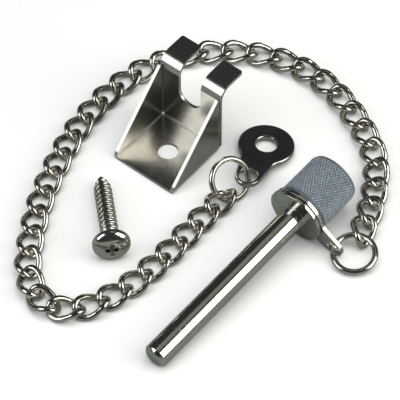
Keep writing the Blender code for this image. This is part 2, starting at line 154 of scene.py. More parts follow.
def soft_box(name, place, width, height, glow, colour=(1, 1, 1), mirrored=True):
    """Area light that faces the middle of the board; glow is how bright its face looks."""
    light = bpy.data.lights.new(name, "AREA")
    light.shape = "RECTANGLE"
    light.size = width
    light.size_y = height
    light.energy = glow * math.pi * width * height
    light.color = colour
    lamp = bpy.data.objects.new(name, light)
    lamp.location = place
    lamp.rotation_euler = (-Vector(place)).to_track_quat("-Z", "Y").to_euler()
    lamp.visible_glossy = mirrored
    bpy.context.scene.collection.objects.link(lamp)


soft_box("right_soft_box", (0.50, -0.14, 0.34), 0.46, 0.56, 2.7, (1, 0.98, 0.93))
soft_box("left_soft_box", (-0.50, -0.16, 0.34), 0.38, 0.50, 2.1, (0.96, 0.98, 1))
soft_box("overhead_soft_box", (0.10, 0.15, 0.60), 0.34, 0.26, 0.20, (0.98, 1, 0.80))
soft_box("board_light", (0.0, -0.05, 0.80), 0.9, 0.9, 2.7, mirrored=False)

world = bpy.data.worlds.new("dark_room")
world.use_nodes = True
room = world.node_tree.nodes["Background"]
room.inputs["Color"].default_value = (0.030, 0.034, 0.036, 1)
bpy.context.scene.world = world
bpy.context.scene.view_settings.view_transform = "Standard"

CAMERA_ELEVATION = math.radians(52)
CAMERA_DISTANCE = 550 * MM
CAMERA_LENS = 217.8
first_hook = Vector(joints["link_01_turn"]["pos_m"])
AIM_FROM_FIRST_HOOK = Vector((-6.6, -0.5, 0)) * MM
aim = first_hook + AIM_FROM_FIRST_HOOK
aim.z = 0
lens = bpy.data.cameras.new("camera")
lens.lens = CAMERA_LENS
lens.clip_start = 0.01
camera = bpy.data.objects.new("camera", lens)
camera.location = aim + CAMERA_DISTANCE * Vector((0, -math.cos(CAMERA_ELEVATION),
                                                  math.sin(CAMERA_ELEVATION)))
camera.rotation_euler = (math.pi / 2 - CAMERA_ELEVATION, 0, 0)
bpy.context.scene.collection.objects.link(camera)
bpy.context.scene.camera = camera


# ---- anchor tab -------------------------------------------------------------------------------
# A keyhole shaped tab, punched from 1.3 mm steel, tumbled so that its rim is round, and plated
# with bright nickel. A wood screw through its large hole holds the chain's fixed end.

def seat(origin, x_axis, z_axis):
    """Matrix of a frame at origin, with these two axes."""
    z_axis = z_axis.normalized()
    y_axis = z_axis.cross(x_axis).normalized()
    turn = Matrix((y_axis.cross(z_axis), y_axis, z_axis)).transposed().to_4x4()
    return Matrix.Translation(origin) @ turn


def piece(name, shape, finishes, body, node, place=None):
    """Make a shown piece from the bmesh, standing for a solid and riding on its body."""
    if place:
        bmesh.ops.transform(shape, matrix=place, verts=shape.verts)
    mesh = bpy.data.meshes.new(name)
    shape.to_mesh(mesh)
    shape.free()
    for finish in finishes:
        mesh.materials.append(finish)
    thing = bpy.data.objects.new(name, mesh)
    bpy.context.scene.collection.objects.link(thing)
    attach(thing, body)
    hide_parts(node)
    return thing


def smooth(shape):
    for face in shape.faces:
        face.smooth = True


def local(wire, place):
    """Coordinates in the piece's own frame."""
    values = {"Vector": wire.node("TexCoord", output="Object"), "Location": place.translation,
              "Rotation": place.to_euler()}
    return wire.node("Mapping", values, vector_type="TEXTURE")


BUMP_DEPTH = 0.02 * MM
# The lighter rim colour is partly wear and partly a painted highlight.
RIM_WEAR_AND_HIGHLIGHT = 0.6               # how much of the worn colour a tab's rim shows


def hairlines(spot, scale, width, stretch=None):
    """Thin curved scratches, 1 in a scratch and 0 beside it, in scattered patches."""
    lines = fade(abs(noise(spot, scale, 2.0, stretch) - 0.5), width, 0.0)
    return lines * fade(noise(spot, scale / 3, 2.0), 0.42, 0.62)


def bright_plate(name, bright, dull, polish, spot_of):
    """Bright nickel with cloudy tarnish, finger smears, scratches, and rims made lighter, partly as
    wear and partly as a painted highlight.
    """
    finish, shader, wire = blank_finish(name)
    spot = spot_of(wire)
    shader.inputs["Metallic"].default_value = 1.0
    cloud = fade(noise(spot, 260, 4.0), 0.35, 0.68)
    smear = fade(noise(spot, 700, 5.0), 0.45, 0.72)
    scratch = hairlines(spot, 1500, 0.010)
    rim = wire.node("Attribute", {}, output="Fac", attribute_name="rim")
    rim = rim * fade(noise(spot, 2400, 3.0), 0.3, 0.65)
    colour = blend_colours(cloud, (*bright, 1), (*dull, 1))
    # painted highlight and wear: rims are blended towards a light cream colour
    colour = blend_colours(rim * RIM_WEAR_AND_HIGHLIGHT, colour, (0.93, 0.90, 0.83, 1))
    ripple = noise(spot, 700, 2.0) * 0.5 + noise(spot, 5200, 2.0) * 0.06 - scratch * 0.5
    bump = wire.node("Bump", {"Strength": 0.35, "Distance": BUMP_DEPTH, "Height": ripple})
    feed(shader, Base_Color=colour, Normal=bump,
         Roughness=polish + cloud * 0.05 + smear * 0.06 + scratch * 0.22 + rim * 0.08)
    return finish


def tab_shape(disc_radius, reach, end_radius, holes, thickness, rim_radius):
    """Tab about z = 0: a disc, an ear towards +X with fillets beside it, holes and round rims."""
    normal = Vector((math.sin(TAB_TAPER), math.cos(TAB_TAPER)))
    along = Vector((math.cos(TAB_TAPER), -math.sin(TAB_TAPER)))
    rise = reach * math.sin(TAB_TAPER) + end_radius + TAB_FILLET
    fillet = rise * normal + math.sqrt((disc_radius + TAB_FILLET)**2 - rise**2) * along
    start = math.atan2(fillet.y, fillet.x)
    edge = math.atan2(normal.y, normal.x)

    shape = bmesh.new()
    rim = shape.loops.layers.float.new("rim")
    tip = shape.verts.new((reach + end_radius, 0, 0))
    waist = fillet - TAB_FILLET * normal
    for centre, angle, steps, goal in (((reach, 0), edge, 12, waist),
                                       (fillet, start - edge, 8, None),
                                       ((0, 0), math.pi - start, 36, None)):
        made = bmesh.ops.spin(shape, geom=[tip], cent=(*centre, 0), axis=(0, 0, 1), angle=angle,
                              steps=steps)
        tip = [part for part in made["geom_last"] if isinstance(part, bmesh.types.BMVert)][0]
        if goal:
            tip = bmesh.ops.extrude_vert_indiv(shape, verts=[tip])["verts"][0]
            tip.co = (*goal, 0)
    bmesh.ops.mirror(shape, geom=[*shape.verts, *shape.edges], axis="Y", merge_dist=1e-6)
    for x, diameter in holes:
        bmesh.ops.create_circle(shape, segments=40, radius=diameter / 2,
                                matrix=Matrix.Translation((x, 0, 0)))
    bmesh.ops.remove_doubles(shape, verts=shape.verts, dist=1e-6)
    bmesh.ops.triangle_fill(shape, use_beauty=True, edges=shape.edges, normal=(0, 0, 1))
    bmesh.ops.dissolve_limit(shape, angle_limit=0.01, verts=shape.verts, edges=shape.edges)
    made = bmesh.ops.extrude_face_region(shape, geom=shape.faces)
    lifted = [part for part in made["geom"] if isinstance(part, bmesh.types.BMVert)]
    bmesh.ops.translate(shape, vec=(0, 0, thickness), verts=lifted)
    bmesh.ops.translate(shape, vec=(0, 0, -thickness / 2), verts=shape.verts)
    bmesh.ops.recalc_face_normals(shape, faces=shape.faces)
    sharp = [e for e in shape.edges if e.calc_face_angle(0) > SHARP]
    made = bmesh.ops.bevel(shape, geom=sharp, offset=rim_radius, segments=4, profile=0.5,
                           affect="EDGES", material=-1, clamp_overlap=True)
    for face in made["faces"]:
        for corner in face.loops:
            corner[rim] = 1.0
    smooth(shape)
    return shape


def even_shading(thing):
    """Keep wide flat faces flat beside the narrow round ones."""
    shading = thing.modifiers.new("even_shading", "WEIGHTED_NORMAL")
    shading.weight = 80


SHARP = math.radians(50)
TAB_TAPER = math.radians(9)
TAB_FILLET = 3.0 * MM
ANCHOR_DIAMETER = 13.1 * MM
ANCHOR_THICKNESS = 1.3 * MM
ANCHOR_REACH = 11.3 * MM
ANCHOR_END_RADIUS = 3.0 * MM
ANCHOR_SCREW_HOLE = 5.0 * MM
ANCHOR_RING_HOLE = 4.2 * MM
ANCHOR_HEADING = math.radians(67)
ANCHOR_RIM = 0.38 * MM

eye = Vector(joints["anchor_ring_swing"]["pos_m"])
tilt = math.asin((eye.z - ANCHOR_THICKNESS / 2) / (ANCHOR_REACH + ANCHOR_DIAMETER / 2))
away = Vector((math.cos(ANCHOR_HEADING) * math.cos(tilt),
               math.sin(ANCHOR_HEADING) * math.cos(tilt), -math.sin(tilt)))
level = Vector((math.sin(ANCHOR_HEADING), -math.cos(ANCHOR_HEADING), 0))
anchor_place = seat(eye + away * ANCHOR_REACH, -away, level.cross(away))
shape = tab_shape(ANCHOR_DIAMETER / 2, ANCHOR_REACH, ANCHOR_END_RADIUS,
                  ((0, ANCHOR_SCREW_HOLE), (ANCHOR_REACH, ANCHOR_RING_HOLE)), ANCHOR_THICKNESS,
                  ANCHOR_RIM)
anchor_finish = bright_plate("tumbled_nickel", (0.70, 0.68, 0.62), (0.52, 0.51, 0.48), 0.07,
                             lambda wire: local(wire, anchor_place))
even_shading(piece("anchor_plate", shape, [anchor_finish], "anchor_tab", "anchor_tab",
                   anchor_place))


# ---- split rings ------------------------------------------------------------------------------
# Two rings of 1.35 mm wire, coiled, cut and closed so that a hairline split is left, then bright
# plated. One holds the chain to the anchor tab, the other holds it to the pin's swivel tab.

RING_OUTER = 10.75 * MM
RING_WIRE = 1.35 * MM
RING_SPLIT = 0.35 * MM
RING_SPLIT_AT = math.radians(200)
RING_END_ROUND = 0.12 * MM

ring_finish = bright_plate("ring_plate", (0.86, 0.83, 0.76), (0.66, 0.63, 0.56), 0.09,
                           lambda wire: wire.node("TexCoord", output="Object"))
for name, node, tilt, rise in (("chain_end_ring", "anchor_ring", 50, 128),
                               ("pin_end_ring", "pin_ring", 9, 65)):
    shape = bmesh.new()
    radius = (RING_OUTER - RING_WIRE) / 2
    half_split = RING_SPLIT / 2 / radius
    upright = Matrix.Translation((radius, 0, 0)) @ Matrix.Rotation(math.pi / 2, 4, "X")
    bmesh.ops.create_circle(shape, cap_ends=True, segments=20, radius=RING_WIRE / 2,
                            matrix=upright)
    bmesh.ops.rotate(shape, verts=shape.verts,
                     matrix=Matrix.Rotation(RING_SPLIT_AT + half_split, 3, "Z"))
    bmesh.ops.spin(shape, geom=[*shape.verts, *shape.edges, *shape.faces], axis=(0, 0, 1),
                   angle=2 * math.pi - 2 * half_split, steps=120)
    bmesh.ops.recalc_face_normals(shape, faces=shape.faces)
    sharp = [e for e in shape.edges if e.calc_face_angle(0) > SHARP]
    bmesh.ops.bevel(shape, geom=sharp, offset=RING_END_ROUND, segments=2, profile=0.5,
                    affect="EDGES", material=-1)
    smooth(shape)
    low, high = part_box(node)
    tilt, rise = math.radians(tilt), math.radians(rise)
    level = Vector((math.sin(rise), -math.cos(rise), 0))
    climb = Vector((math.cos(rise) * math.cos(tilt), math.sin(rise) * math.cos(tilt),
                    math.sin(tilt)))
    piece(name, shape, [ring_finish], node, node,
          seat((low + high) / 2, level, level.cross(climb)))


# ---- curb chain -------------------------------------------------------------------------------
# Thirty-nine links of 1.4 mm wire. Each was an oval ring, threaded through its neighbour, closed
# with a butt joint in one side, and twisted a quarter turn so that the chain lies flat.

LINK_COUNT = 39
LINK_WIRE = 1.4 * MM
LINK_LENGTH = 8.95 * MM      # over the wires
LINK_WIDTH = 6.4 * MM
LINK_TWIST = math.radians(90)
LINK_SQUARENESS = 2.5        # 2 is an ellipse, more gives straighter sides
LINK_STEPS = 56
LINK_SIDES = 14
SEAM_DEPTH = 0.86            # the wire's width at its butt joint
END_ROLLS = (-9, -19, -30)


def link_stations():
    """Frames along the wire of a link, with the frame's x axis square to the twisted loop."""
    power = 2 / LINK_SQUARENESS
    spots = []
    for step in range(LINK_STEPS):
        turn = 2 * math.pi * (step + 0.5) / LINK_STEPS
        along, across = math.cos(turn), math.sin(turn)
        x = (LINK_LENGTH - LINK_WIRE) / 2 * math.copysign(abs(along)**power, along)
        side = (LINK_WIDTH - LINK_WIRE) / 2 * math.copysign(abs(across)**power, across)
        twist = -LINK_TWIST * x / (LINK_LENGTH - LINK_WIRE)
        up = Vector((0, -math.sin(twist), math.cos(twist)))
        spots.append((Vector((x, side * math.cos(twist), side * math.sin(twist))), up))
    stations = []
    for before, now, after in zip(spots[-1:] + spots, spots, spots[1:] + spots[:1]):
        stations.append(seat(now[0], now[1], after[0] - before[0]))
    return stations


shape = bmesh.new()
stations = link_stations()
bmesh.ops.create_circle(shape, segments=LINK_SIDES, radius=LINK_WIRE / 2, matrix=stations[0])
rim_edges = list(shape.edges)
seam = None
for step, (last, now) in enumerate(zip(stations, stations[1:] + stations[:1])):
    made = bmesh.ops.extrude_edge_only(shape, edges=rim_edges)
    fresh = [part for part in made["geom"] if isinstance(part, bmesh.types.BMVert)]
    rim_edges = [part for part in made["geom"] if isinstance(part, bmesh.types.BMEdge)
                 and part.verts[0] in fresh and part.verts[1] in fresh]
    bmesh.ops.transform(shape, matrix=now @ last.inverted(), verts=fresh)
    if step == LINK_STEPS // 4:
        seam = (now, fresh)
bmesh.ops.transform(shape, matrix=seam[0] @ Matrix.Scale(SEAM_DEPTH, 4) @ seam[0].inverted(),
                    verts=seam[1])
bmesh.ops.remove_doubles(shape, verts=shape.verts, dist=1e-6)
bmesh.ops.recalc_face_normals(shape, faces=shape.faces)
smooth(shape)
link_mesh = bpy.data.meshes.new("link")
shape.to_mesh(link_mesh)
shape.free()

chain_finish = bright_plate("chain_plate", (0.90, 0.86, 0.78), (0.64, 0.61, 0.54), 0.09,
                            lambda wire: wire.node("TexCoord", output="Object"))
hinges = [j for j in frame["joints"] if j["name"].startswith("link_")]
hooks = [Vector(j["pos_m"]) for j in hinges]
rolls = [0] * (LINK_COUNT - len(END_ROLLS)) + list(END_ROLLS)
for number, roll in enumerate(rolls, 1):
    node = f"chain_link_{number:02d}"
    low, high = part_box(node)
    middle = (low + high) / 2
    start = hooks[number - 1]
    heading = math.atan2(middle.y - start.y, middle.x - start.x)
    turn = Matrix.Rotation(heading, 4, "Z") @ Matrix.Rotation(math.radians(roll), 4, "X")
    shape = bmesh.new()
    shape.from_mesh(link_mesh)
    piece(f"curb_link_{number:02d}", shape, [chain_finish], node, node,
          Matrix.Translation(middle) @ turn)
bpy.data.meshes.remove(link_mesh)


# ---- swivel tab -------------------------------------------------------------------------------
# A thinner tab, punched from 0.9 mm steel and left with a plain sheared rim. It turns freely on
# the pin's neck, between the collar and the knob, and its ear carries the pin's ring.

SWIVEL_DIAMETER = 13.4 * MM
SWIVEL_THICKNESS = 0.9 * MM
SWIVEL_REACH = 11.0 * MM
SWIVEL_EAR_RADIUS = 2.4 * MM
SWIVEL_HOLE = 3.2 * MM
SWIVEL_BORE = 4.6 * MM
SWIVEL_RIM = 0.14 * MM

pin_turn = joints["pin_turn"]
pin_axis = Vector(pin_turn["axis"])
pin_middle = Vector(pin_turn["pos_m"])
flat_length = math.hypot(pin_axis.x, pin_axis.y)
side = Vector((pin_axis.y, -pin_axis.x, 0)) / flat_length
drop = math.asin((pin_middle.z - SWIVEL_EAR_RADIUS) / SWIVEL_REACH / flat_length)
ear = side * math.cos(drop) - side.cross(pin_axis) * math.sin(drop)
pin_place = seat(pin_middle, ear, pin_axis)
shape = tab_shape(SWIVEL_DIAMETER / 2, SWIVEL_REACH, SWIVEL_EAR_RADIUS,
                  ((0, SWIVEL_BORE), (SWIVEL_REACH, SWIVEL_HOLE)), SWIVEL_THICKNESS, SWIVEL_RIM)
swivel_finish = bright_plate("sheared_plate", (0.84, 0.83, 0.78), (0.68, 0.67, 0.62), 0.16,
                             lambda wire: local(wire, pin_place))
even_shading(piece("swivel_plate", shape, [swivel_finish], "swivel_tab", "swivel_tab",
                   pin_place))


# ---- pin --------------------------------------------------------------------------------------
# The pin is turned in one piece from 14 mm steel bar: the shank with its chamfered tip, a thin
# collar, and a neck that the knob is pressed onto. It is plated, and scored by use.

SHANK_DIAMETER = 5.8 * MM
SHANK_LENGTH = 47.2 * MM
TIP_CHAMFER = 0.7 * MM
COLLAR_DIAMETER = 13.8 * MM
COLLAR_THICKNESS = 0.9 * MM
NECK_DIAMETER = 4.0 * MM
NECK_IN_KNOB = 8.0 * MM
GAP = 0.3 * MM
TURNED_STEPS = 128
TURNED_SHARP = math.radians(30)
PIN_EDGE = 0.13 * MM         # the break on the pin's edges


def turned_shape(outline, steps=TURNED_STEPS):
    """Spin an outline of radii and heights about the z axis into a closed solid."""
    shape = bmesh.new()
    spots = [shape.verts.new((radius, 0, height)) for radius, height in outline]
    for first, second in zip(spots, spots[1:]):
        shape.edges.new((first, second))
    bmesh.ops.spin(shape, geom=[*shape.verts, *shape.edges], axis=(0, 0, 1), angle=2 * math.pi,
                   steps=steps, use_merge=True)
    bmesh.ops.remove_doubles(shape, verts=shape.verts, dist=1e-6)
    bmesh.ops.recalc_face_normals(shape, faces=shape.faces)
    return shape


def turned_steel(name, colour, place):
    """Turned and plated bar: faint rings from the tool, long smears and a few short cuts."""
    finish, shader, wire = blank_finish(name)
    shader.inputs["Metallic"].default_value = 1.0
    spot = local(wire, place)
    rings = noise(spot, 5200, 3.0, (0.0, 0.0, 1.0))
    smear = fade(noise(spot, 420, 4.0, (1.0, 1.0, 0.25)), 0.40, 0.72)
    cuts = hairlines(spot, 520, 0.006, (0.35, 0.35, 1.0))
    scuffs = hairlines(spot, 1800, 0.010, (1.0, 1.0, 0.15))
    tint = blend_colours(smear, (*colour, 1), tuple(c * 0.8 for c in colour) + (1,))
    height = rings * 0.25 - cuts * 1.0 - scuffs * 0.3
    bump = wire.node("Bump", {"Strength": 0.3, "Distance": BUMP_DEPTH, "Height": height})
    feed(shader, Base_Color=blend_colours(cuts * 0.7, tint, (0.95, 0.93, 0.88, 1)), Normal=bump,
         Roughness=0.07 + rings * 0.05 + smear * 0.07 + cuts * 0.30 + scuffs * 0.15)
    return finish


collar_top = -(SWIVEL_THICKNESS / 2 + GAP)
shoulder = collar_top - COLLAR_THICKNESS
tip_end = shoulder - SHANK_LENGTH
knob_start = SWIVEL_THICKNESS / 2 + GAP
neck_end = knob_start + NECK_IN_KNOB
shank, neck, flange = SHANK_DIAMETER / 2, NECK_DIAMETER / 2, COLLAR_DIAMETER / 2
shape = turned_shape([(0, neck_end), (neck, neck_end), (neck, collar_top), (flange, collar_top),
                      (flange, shoulder), (shank, shoulder), (shank, tip_end + TIP_CHAMFER),
                      (shank - TIP_CHAMFER, tip_end), (0, tip_end)])
sharp = [e for e in shape.edges if e.calc_face_angle(0) > TURNED_SHARP]
bmesh.ops.bevel(shape, geom=sharp, offset=PIN_EDGE, segments=3, profile=0.5, affect="EDGES",
                material=-1)
smooth(shape)
pin_finish = turned_steel("turned_plate", (0.76, 0.75, 0.69), pin_place)
even_shading(piece("turned_pin", shape, [pin_finish], "pin", "pin_shank", pin_place))


# ---- knob -------------------------------------------------------------------------------------
# The knob is cut from half inch aluminium bar. Its side is rolled between two knurling wheels into
# fine diamonds, the ends are faced off with a small chamfer, and it is pressed onto the neck.

KNOB_DIAMETER = 12.7 * MM
KNOB_LENGTH = 11.6 * MM
KNOB_CHAMFER = 0.4 * MM
KNURL_COUNT = 54
KNURL_ROWS = 9
KNURL_DEPTH = 0.22 * MM
END_RING_OUTER = 0.6 * MM    # radii of two rings of points that close the flat end
END_RING_INNER = 0.4 * MM


def knob_shape():
    """Diamond pyramids round a cylinder, closed by chamfers, an end face and the neck's bore."""
    radius = KNOB_DIAMETER / 2
    length = KNOB_LENGTH - 2 * KNOB_CHAMFER
    shape = bmesh.new()
    bmesh.ops.create_cone(shape, segments=KNURL_COUNT, radius1=radius - KNURL_DEPTH,
                          radius2=radius - KNURL_DEPTH, depth=length)
    upright = [e for e in shape.edges if abs(e.verts[0].co.z - e.verts[1].co.z) > length / 2]
    bmesh.ops.subdivide_edges(shape, edges=upright, cuts=KNURL_ROWS - 1, use_grid_fill=True)
    bmesh.ops.recalc_face_normals(shape, faces=shape.faces)
    grid = [e for e in shape.edges if not e.is_boundary]
    bmesh.ops.poke(shape, faces=shape.faces)
    bmesh.ops.dissolve_edges(shape, edges=grid)
    diamonds = [f for f in shape.faces if len(f.verts) == 4]
    if sum(f.normal.dot(f.calc_center_median()) for f in diamonds) < 0:
        bmesh.ops.reverse_faces(shape, faces=shape.faces)
    bmesh.ops.poke(shape, faces=diamonds, offset=KNURL_DEPTH)
    bmesh.ops.translate(shape, vec=(0, 0, knob_start + KNOB_LENGTH / 2), verts=shape.verts)
    start, end, bore = knob_start, knob_start + KNOB_LENGTH, neck + GAP
    middle = (start + end) / 2
    for stations in (((radius - KNOB_CHAMFER, end), (END_RING_OUTER, end),
                      (END_RING_INNER, end)),
                     ((radius - KNOB_CHAMFER, start), (bore, start), (bore, neck_end + GAP))):
        above = stations[0][1] > middle
        loop = [e for e in shape.edges if e.is_boundary and (e.verts[0].co.z > middle) == above]
        now = radius - KNURL_DEPTH
        for goal, height in stations:
            made = bmesh.ops.extrude_edge_only(shape, edges=loop)
            fresh = [p for p in made["geom"] if isinstance(p, bmesh.types.BMVert)]
            loop = [p for p in made["geom"] if isinstance(p, bmesh.types.BMEdge)
                    and p.verts[0] in fresh and p.verts[1] in fresh]
            bmesh.ops.scale(shape, vec=(goal / now, goal / now, 1), verts=fresh)
            bmesh.ops.translate(shape, vec=(0, 0, height - fresh[0].co.z), verts=fresh)
            now = goal
        bmesh.ops.edgeloop_fill(shape, edges=loop)
    bmesh.ops.recalc_face_normals(shape, faces=shape.faces)
    return shape


def knurled_aluminium(name, place):
    """Matt blue-grey aluminium in patches of dirt, with a painted highlight on the diamonds' points
    and painted shade between them.
    """
    finish, shader, wire = blank_finish(name)
    shader.inputs["Metallic"].default_value = 0.62
    spot = local(wire, place)
    across = spot.node("VectorMath", {0: spot, 1: (1.0, 1.0, 0.0)}, operation="MULTIPLY")
    reach = across.node("VectorMath", {0: across}, output="Value", operation="LENGTH")
    side = KNOB_DIAMETER / 2
    lit_point_shaded_groove = fade(reach, side - KNURL_DEPTH, side)
    grime = fade(noise(spot, 1400, 4.0), 0.40, 0.62)
    streak = noise(spot, 1600, 3.0, (1.0, 1.0, 0.12))
    # painted highlight on the diamonds' points and painted shade in the grooves between them
    colour = blend_colours(lit_point_shaded_groove, (0.17, 0.215, 0.25, 1), (0.80, 0.90, 0.95, 1))
    colour = blend_colours(grime * 0.55, colour, (0.15, 0.19, 0.22, 1))
    bump = wire.node("Bump", {"Strength": 0.25, "Distance": BUMP_DEPTH,
                              "Height": streak + noise(spot, 6000, 2.0) * 0.6})
    feed(shader, Base_Color=colour, Normal=bump,
         Roughness=0.34 + grime * 0.14 + (1 - lit_point_shaded_groove) * 0.10 + streak * 0.05)
    return finish


piece("diamond_knob", knob_shape(), [knurled_aluminium("knurled_bar", pin_place)], "pin",
      "knurled_knob", pin_place)


# ---- holder bracket ---------------------------------------------------------------------------
# A blank punched from 0.8 mm steel sheet and folded: two sloping side flaps, an upright with a
# slot for the pin, and two curled ears beside the slot's mouth. It is satin nickel plated.

SHEET = 0.8 * MM
BRACKET_WIDTH = 17.6 * MM
BRACKET_DEPTH = 17.6 * MM
BRACKET_HEIGHT = 20.4 * MM
FLAP_HEIGHT = 18.4 * MM
FLAP_TOE = 1.5 * MM
FOLD_RADIUS = 0.4 * MM
EAR_CURL_RADIUS = 2.8 * MM
EAR_REACH = 7.5 * MM
SLOT_WIDTH = 6.4 * MM
SLOT_BOTTOM = 9.4 * MM
BRACKET_SCREW_HOLE = 4.9 * MM
BRACKET_TURN = math.radians(-39)
FOLD_STEPS = 6
CURL_STEPS = 14
SHEARED_EDGE = 0.26 * MM
TOE_CORNER = 0.9 * MM        # radii of the blank's punched corners
FLAP_CORNER = 0.5 * MM
EAR_CORNER = 0.5 * MM
SLOT_CORNER = 0.4 * MM
RELIEF_WIDTH = 0.11 * MM     # from the fold to the cut between upright and flap
WORN_BEFORE = 0.15 * MM      # a fold's wear fades in from this far before the fold's start
WORN_AFTER = 0.25 * MM       # to this far after it
QUARTER = math.pi / 2


def blank_shape(fold_line, climb, curl):
    """The flat blank at z = 0, in the sheet's middle layer, before it is folded."""
    half_width, half_depth = BRACKET_WIDTH / 2, BRACKET_DEPTH / 2
    fold = (FOLD_RADIUS + SHEET / 2) * QUARTER
    flat_of = fold_line + fold - (SHEET / 2 + FOLD_RADIUS + SHEET / 2)   # a height's place
    toe, top = flat_of + FLAP_TOE, flat_of + FLAP_HEIGHT
    flap_back = half_depth - SHEET - GAP
    ear_end = fold_line + fold + climb + curl * QUARTER + EAR_REACH - curl + SHEET / 2
    slot = SLOT_WIDTH / 2
    slot_centre = flat_of + SLOT_BOTTOM + slot
    corners = [(0, -half_depth), (toe, -half_depth), (top, flap_back), (fold_line + fold, flap_back),
               (fold_line, fold_line), (fold_line, fold_line + fold),
               (half_width, fold_line + fold), (half_width, ear_end), (slot, ear_end),
               (slot, slot_centre)]
    shape = bmesh.new()
    spots = [shape.verts.new((*corner, 0)) for corner in corners]
    for first, second in zip(spots, spots[1:]):
        shape.edges.new((first, second))
    bmesh.ops.spin(shape, geom=[spots[-1]], cent=(0, slot_centre, 0), axis=(0, 0, -1),
                   angle=QUARTER, steps=14)
    rounded = [(spots[1], TOE_CORNER), (spots[2], FLAP_CORNER), (spots[7], EAR_CORNER),
               (spots[8], SLOT_CORNER)]
    for corner, radius in rounded:
        bmesh.ops.bevel(shape, geom=[corner], offset=radius, segments=5, profile=0.5,
                        affect="VERTICES", material=-1)
    bmesh.ops.mirror(shape, geom=[*shape.verts, *shape.edges], axis="X", merge_dist=1e-6)
    bmesh.ops.create_circle(shape, segments=48, radius=BRACKET_SCREW_HOLE / 2)
    bmesh.ops.remove_doubles(shape, verts=shape.verts, dist=1e-6)
    bmesh.ops.triangle_fill(shape, use_beauty=True, edges=shape.edges, normal=(0, 0, 1))
    bmesh.ops.dissolve_limit(shape, angle_limit=0.01, verts=shape.verts, edges=shape.edges)
    return shape


def bracket_shape():
    middle = FOLD_RADIUS + SHEET / 2
    curl = EAR_CURL_RADIUS + SHEET / 2
    fold_line = BRACKET_WIDTH / 2 - SHEET / 2 - middle
    climb = BRACKET_HEIGHT - SHEET / 2 - curl - SHEET / 2 - middle
    shape = blank_shape(fold_line, climb, curl)
    fold = middle * QUARTER
    curl_line = fold_line + fold + climb
    lines = [((1, 0, 0), fold_line, fold, FOLD_STEPS), ((-1, 0, 0), fold_line, fold, FOLD_STEPS),
             ((0, 1, 0), fold_line, fold, FOLD_STEPS),
             ((0, 1, 0), curl_line, curl * QUARTER, CURL_STEPS)]
    for direction, start, length, steps in lines:
        for step in range(steps):
            line = Vector(direction) * (start + length * (step + 0.5) / steps)
            bmesh.ops.bisect_plane(shape, geom=[*shape.verts, *shape.edges, *shape.faces],
                                   dist=1e-7, plane_co=line, plane_no=direction)
    seam = fold_line + RELIEF_WIDTH

    def upright(spot):
        return spot.y > seam or (spot.y > fold_line and abs(spot.x) < fold_line + 1e-6)

    def flap(spot):
        return not upright(spot)

    flat = {v: v.co.copy() for v in shape.verts}
    for start, length, angle, steps in ((curl_line, curl * QUARTER, QUARTER, CURL_STEPS),
                                        (fold_line, fold, -QUARTER, FOLD_STEPS)):
        for step in reversed(range(steps)):
            line = start + length * (step + 0.5) / steps
            beyond = [v for v in shape.verts if upright(flat[v]) and flat[v].y > line + 1e-7]
            bmesh.ops.rotate(shape, verts=beyond, cent=(0, line, 0),
                             matrix=Matrix.Rotation(-angle / steps, 3, "X"))
    for hand in (1, -1):
        for step in reversed(range(FOLD_STEPS)):
            line = hand * (fold_line + fold * (step + 0.5) / FOLD_STEPS)
            beyond = [v for v in shape.verts
                      if flap(flat[v]) and hand * flat[v].x > hand * line + 1e-7]
            bmesh.ops.rotate(shape, verts=beyond, cent=(line, 0, 0),
                             matrix=Matrix.Rotation(-hand * QUARTER / FOLD_STEPS, 3, "Y"))
    bmesh.ops.translate(shape, vec=(0, 0, SHEET / 2), verts=shape.verts)
    bmesh.ops.recalc_face_normals(shape, faces=shape.faces)
    smooth(shape)
    return shape


def satin_sheet(name, place, colour, polish, grain):
    """Satin nickel on rolled sheet: grain one way, dull clouds, dark specks and worn folds."""
    finish, shader, wire = blank_finish(name)
    shader.inputs["Metallic"].default_value = 1.0
    spot = local(wire, place)
    lines = noise(spot, 4200, 3.0, grain)
    cloud = fade(noise(spot, 120, 3.0), 0.30, 0.72)
    speck = fade(noise(spot, 1300, 2.0), 0.73, 0.78)
    scratch = hairlines(spot, 900, 0.007)
    tint = blend_colours(cloud, (*colour, 1), tuple(c * 0.88 for c in colour) + (1,))
    tint = blend_colours(speck * 0.8, tint, (0.10, 0.08, 0.06, 1))
    part = spot.node("SeparateXYZ", {"Vector": spot})
    aside, behind, above = (Wire(wire.tree, socket) for socket in part.socket.node.outputs)
    inner = BRACKET_WIDTH / 2 - SHEET - FOLD_RADIUS
    low, high = inner - WORN_BEFORE, inner + WORN_AFTER
    corner = fade(abs(aside), low, high)
    corner = corner.maths("MAXIMUM", corner, fade(behind, low, high))
    worn = corner * fade(above, SHEET + 0.7 * MM, SHEET + 0.3 * MM) * fade(above, 0.2 * MM, SHEET)
    tint = blend_colours(worn * 0.8, tint, (0.96, 0.94, 0.86, 1))
    height = lines * 0.4 + noise(spot, 400, 2.0) * 0.6 - scratch * 0.6 - speck * 0.6
    bump = wire.node("Bump", {"Strength": 0.30, "Distance": BUMP_DEPTH, "Height": height})
    feed(shader, Base_Color=tint, Normal=bump,
         Roughness=polish + cloud * 0.04 + lines * 0.05 + scratch * 0.10 + speck * 0.3
         + worn * 0.25)
    return finish


